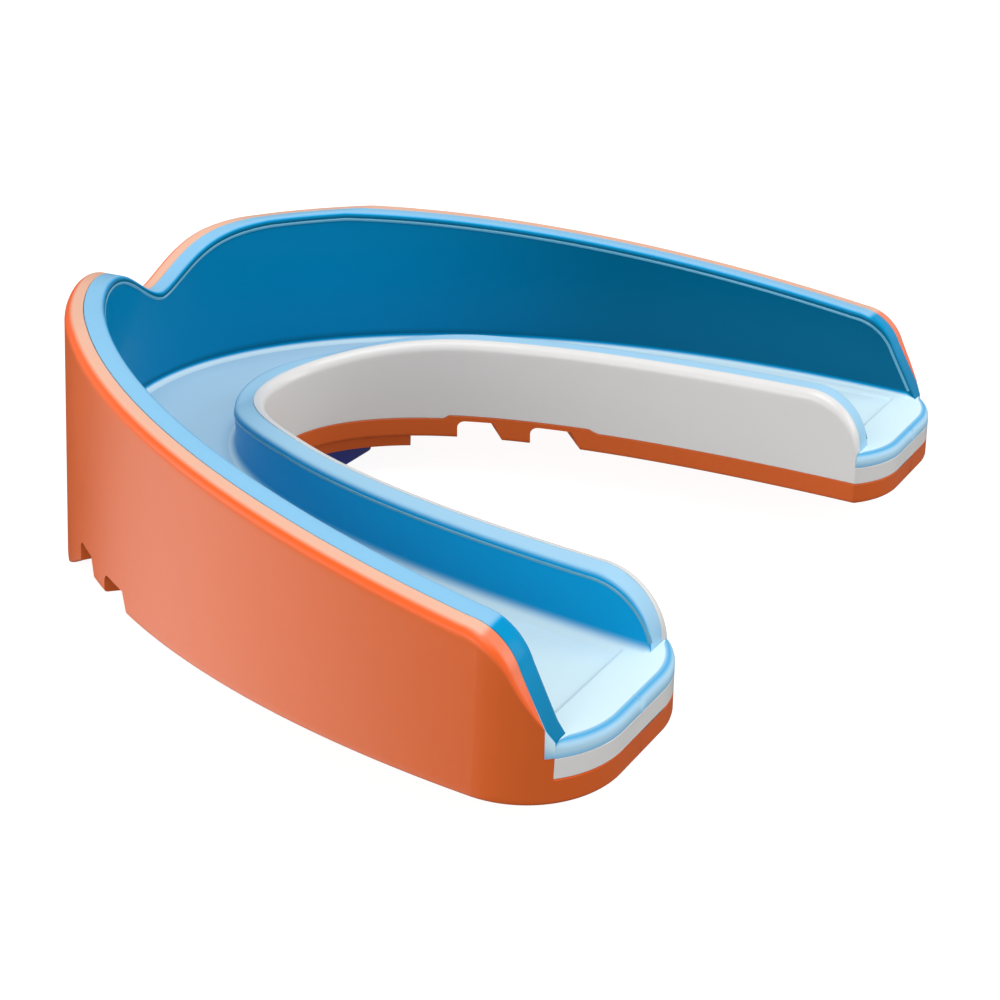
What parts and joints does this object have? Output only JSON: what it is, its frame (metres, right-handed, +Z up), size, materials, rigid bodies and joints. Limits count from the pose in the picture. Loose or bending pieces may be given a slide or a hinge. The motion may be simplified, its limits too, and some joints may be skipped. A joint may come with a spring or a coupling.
{
  "type": "mouthguard",
  "caption": "Upper boil-and-bite mouthguard: tough outer shell with a notched front wall, white shock frame and soft gel channel for the teeth.",
  "frame": {"origin": "centre of the box seen from above, on the plane that the edge of the front lip stands on", "axes": "+Z up towards the roof of the mouth, -Y towards the lips, +X across the cheeks"},
  "size_m": [0.0644, 0.0601, 0.0194],
  "materials": {
    "shell_orange": "satin moulded",
    "frame_white": "satin moulded",
    "gel_blue": "glossy soft gel",
    "pad_blue": "glossy soft gel"
  },
  "bodies": {
    "root": {"outer_shell": "shell_orange", "shock_frame": "frame_white", "gel_liner": "gel_blue", "lip_pad": "pad_blue"}
  },
  "joints": []
}
